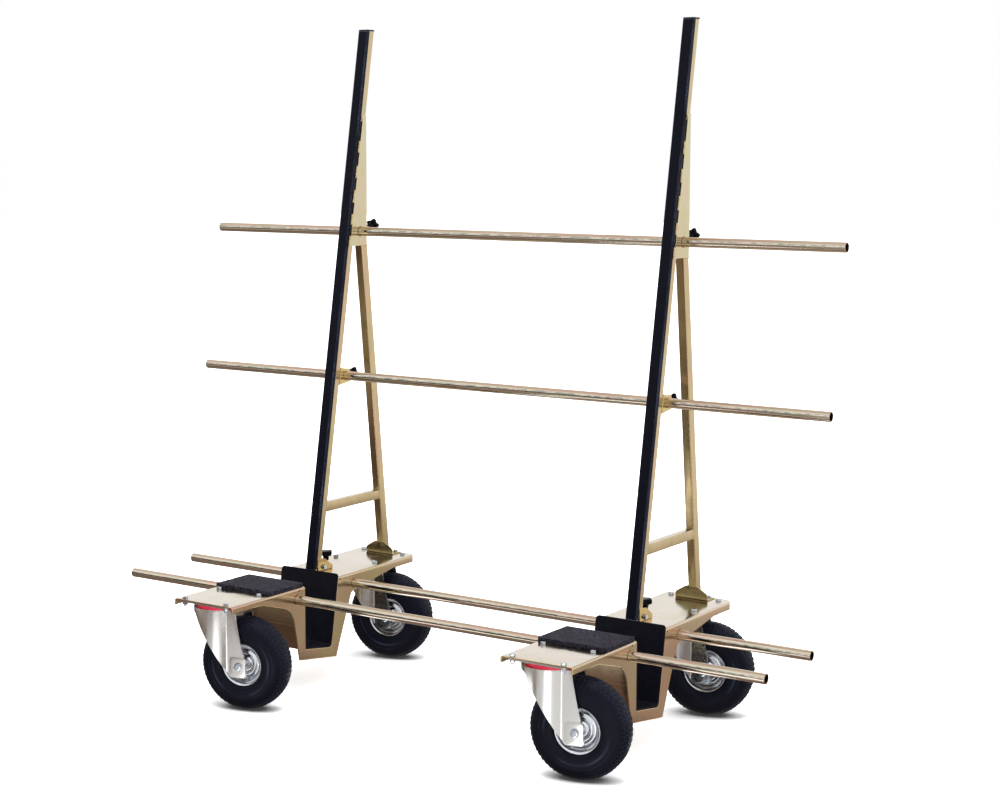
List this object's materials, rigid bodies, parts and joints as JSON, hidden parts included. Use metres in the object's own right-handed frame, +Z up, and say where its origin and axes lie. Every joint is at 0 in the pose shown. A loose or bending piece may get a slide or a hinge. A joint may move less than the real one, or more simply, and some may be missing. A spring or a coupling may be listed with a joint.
{
  "type": "glass transport cart",
  "caption": "Cart for glass panes: wheeled base units with a pane pocket and a leaning rubber-faced upright each, joined by sliding tubes with clamping knobs.",
  "frame": {"origin": "centre of the bounding box's bottom face, on the floor under the tyres", "axes": "+X along the tubes to the right unit, +Y to the back where the uprights lean, +Z up"},
  "size_m": [2.095, 0.846, 1.888],
  "materials": {
    "yellow_zinc": "glossy yellow-chromated zinc",
    "bright_zinc": "satin bright zinc",
    "rim_zinc": "glossy bright zinc",
    "black_rubber": "matte black rubber",
    "speckled_pad": "bonded rubber granules with pale specks",
    "tyre_rubber": "matte blue-black block tread",
    "black_plastic": "satin black plastic",
    "red_seal": "satin red plastic"
  },
  "bodies": {
    "left_unit": {"base_frame_left": "yellow_zinc", "slot_liner_left": "black_rubber", "loading_pad_left": "speckled_pad", "upright_tube_left": "yellow_zinc", "upright_rubber_left": "black_rubber", "upright_cap_left": "black_plastic", "rear_leg_left": "yellow_zinc", "crossbar_left": "yellow_zinc", "gusset_left": "yellow_zinc", "middle_bracket_left": "yellow_zinc", "foot_shoe_left": "yellow_zinc", "foot_bolt_left": "bright_zinc", "rear_foot_left": "yellow_zinc", "caster_plate_left_front": "bright_zinc", "caster_plate_left_rear": "bright_zinc"},
    "right_unit": {"base_frame_right": "yellow_zinc", "slot_liner_right": "black_rubber", "loading_pad_right": "speckled_pad", "upright_tube_right": "yellow_zinc", "upright_rubber_right": "black_rubber", "upright_cap_right": "black_plastic", "rear_leg_right": "yellow_zinc", "crossbar_right": "yellow_zinc", "gusset_right": "yellow_zinc", "middle_bracket_right": "yellow_zinc", "foot_shoe_right": "yellow_zinc", "foot_bolt_right": "bright_zinc", "rear_foot_right": "yellow_zinc", "caster_plate_right_front": "bright_zinc", "caster_plate_right_rear": "bright_zinc"},
    "upper_tube": {"upper_tube": "yellow_zinc"},
    "middle_tube": {"middle_tube": "yellow_zinc"},
    "rear_floor_tube": {"rear_floor_tube": "yellow_zinc"},
    "front_floor_tube": {"front_floor_tube": "yellow_zinc"},
    "upper_knob_left": {"upper_knob_left": "black_plastic"},
    "middle_knob_left": {"middle_knob_left": "black_plastic"},
    "base_knob_left": {"base_knob_left": "black_plastic"},
    "swivel_left_front": {"swivel_seal_left_front": "red_seal", "fork_left_front": "bright_zinc", "axle_bolt_left_front": "bright_zinc"},
    "wheel_left_front": {"rim_left_front": "rim_zinc", "tyre_left_front": "tyre_rubber"},
    "swivel_left_rear": {"swivel_seal_left_rear": "red_seal", "fork_left_rear": "bright_zinc", "axle_bolt_left_rear": "bright_zinc"},
    "wheel_left_rear": {"rim_left_rear": "rim_zinc", "tyre_left_rear": "tyre_rubber"},
    "upper_knob_right": {"upper_knob_right": "black_plastic"},
    "middle_knob_right": {"middle_knob_right": "black_plastic"},
    "base_knob_right": {"base_knob_right": "black_plastic"},
    "swivel_right_front": {"swivel_seal_right_front": "red_seal", "fork_right_front": "bright_zinc", "axle_bolt_right_front": "bright_zinc"},
    "wheel_right_front": {"rim_right_front": "rim_zinc", "tyre_right_front": "tyre_rubber"},
    "swivel_right_rear": {"swivel_seal_right_rear": "red_seal", "fork_right_rear": "bright_zinc", "axle_bolt_right_rear": "bright_zinc"},
    "wheel_right_rear": {"rim_right_rear": "rim_zinc", "tyre_right_rear": "tyre_rubber"}
  },
  "joints": [
    {"name": "right_unit_slide", "type": "slide", "parent": "left_unit", "child": "right_unit", "axis": [1, 0, 0], "range_m": [-0.65, 0.37]},
    {"name": "upper_tube_slide", "type": "slide", "parent": "left_unit", "child": "upper_tube", "axis": [1, 0, 0], "range_m": [-0.46, 0.505]},
    {"name": "middle_tube_slide", "type": "slide", "parent": "left_unit", "child": "middle_tube", "axis": [1, 0, 0], "range_m": [-0.46, 0.505]},
    {"name": "rear_floor_tube_slide", "type": "slide", "parent": "left_unit", "child": "rear_floor_tube", "axis": [1, 0, 0], "range_m": [-0.375, 0.418]},
    {"name": "front_floor_tube_slide", "type": "slide", "parent": "left_unit", "child": "front_floor_tube", "axis": [1, 0, 0], "range_m": [-0.375, 0.418]},
    {"name": "upper_knob_left_turn", "type": "hinge", "parent": "left_unit", "child": "upper_knob_left", "pos_m": [-0.5194, 0.26721, 1.2975], "axis": [0, 0.9848, 0.1736], "range_deg": [0, 720]},
    {"name": "middle_knob_left_turn", "type": "hinge", "parent": "left_unit", "child": "middle_knob_left", "pos_m": [-0.5194, 0.19528, 0.8744], "axis": [0, 1, 0], "range_deg": [0, 720]},
    {"name": "base_knob_left_turn", "type": "hinge", "parent": "left_unit", "child": "base_knob_left", "pos_m": [-0.5194, 0.1122, 0.2752], "axis": [0, 0, 1], "range_deg": [0, 720]},
    {"name": "swivel_left_front_turn", "type": "hinge", "parent": "left_unit", "child": "swivel_left_front", "pos_m": [-0.5194, -0.3442, 0.13], "axis": [0, 0, 1], "continuous": true},
    {"name": "wheel_left_front_spin", "type": "hinge", "parent": "swivel_left_front", "child": "wheel_left_front", "pos_m": [-0.44751, -0.32667, 0.13], "axis": [-0.2368, 0.9715, 0], "continuous": true},
    {"name": "swivel_left_rear_turn", "type": "hinge", "parent": "left_unit", "child": "swivel_left_rear", "pos_m": [-0.5194, 0.3216, 0.13], "axis": [0, 0, 1], "continuous": true},
    {"name": "wheel_left_rear_spin", "type": "hinge", "parent": "swivel_left_rear", "child": "wheel_left_rear", "pos_m": [-0.44751, 0.33913, 0.13], "axis": [-0.2368, 0.9715, 0], "continuous": true},
    {"name": "upper_knob_right_turn", "type": "hinge", "parent": "right_unit", "child": "upper_knob_right", "pos_m": [0.5636, 0.26721, 1.2975], "axis": [0, 0.9848, 0.1736], "range_deg": [0, 720]},
    {"name": "middle_knob_right_turn", "type": "hinge", "parent": "right_unit", "child": "middle_knob_right", "pos_m": [0.5636, 0.19528, 0.8744], "axis": [0, 1, 0], "range_deg": [0, 720]},
    {"name": "base_knob_right_turn", "type": "hinge", "parent": "right_unit", "child": "base_knob_right", "pos_m": [0.5636, 0.1122, 0.2752], "axis": [0, 0, 1], "range_deg": [0, 720]},
    {"name": "swivel_right_front_turn", "type": "hinge", "parent": "right_unit", "child": "swivel_right_front", "pos_m": [0.5636, -0.3442, 0.13], "axis": [0, 0, 1], "continuous": true},
    {"name": "wheel_right_front_spin", "type": "hinge", "parent": "swivel_right_front", "child": "wheel_right_front", "pos_m": [0.63549, -0.32667, 0.13], "axis": [-0.2368, 0.9715, 0], "continuous": true},
    {"name": "swivel_right_rear_turn", "type": "hinge", "parent": "right_unit", "child": "swivel_right_rear", "pos_m": [0.5636, 0.3216, 0.13], "axis": [0, 0, 1], "continuous": true},
    {"name": "wheel_right_rear_spin", "type": "hinge", "parent": "swivel_right_rear", "child": "wheel_right_rear", "pos_m": [0.63549, 0.33913, 0.13], "axis": [-0.2368, 0.9715, 0], "continuous": true}
  ]
}
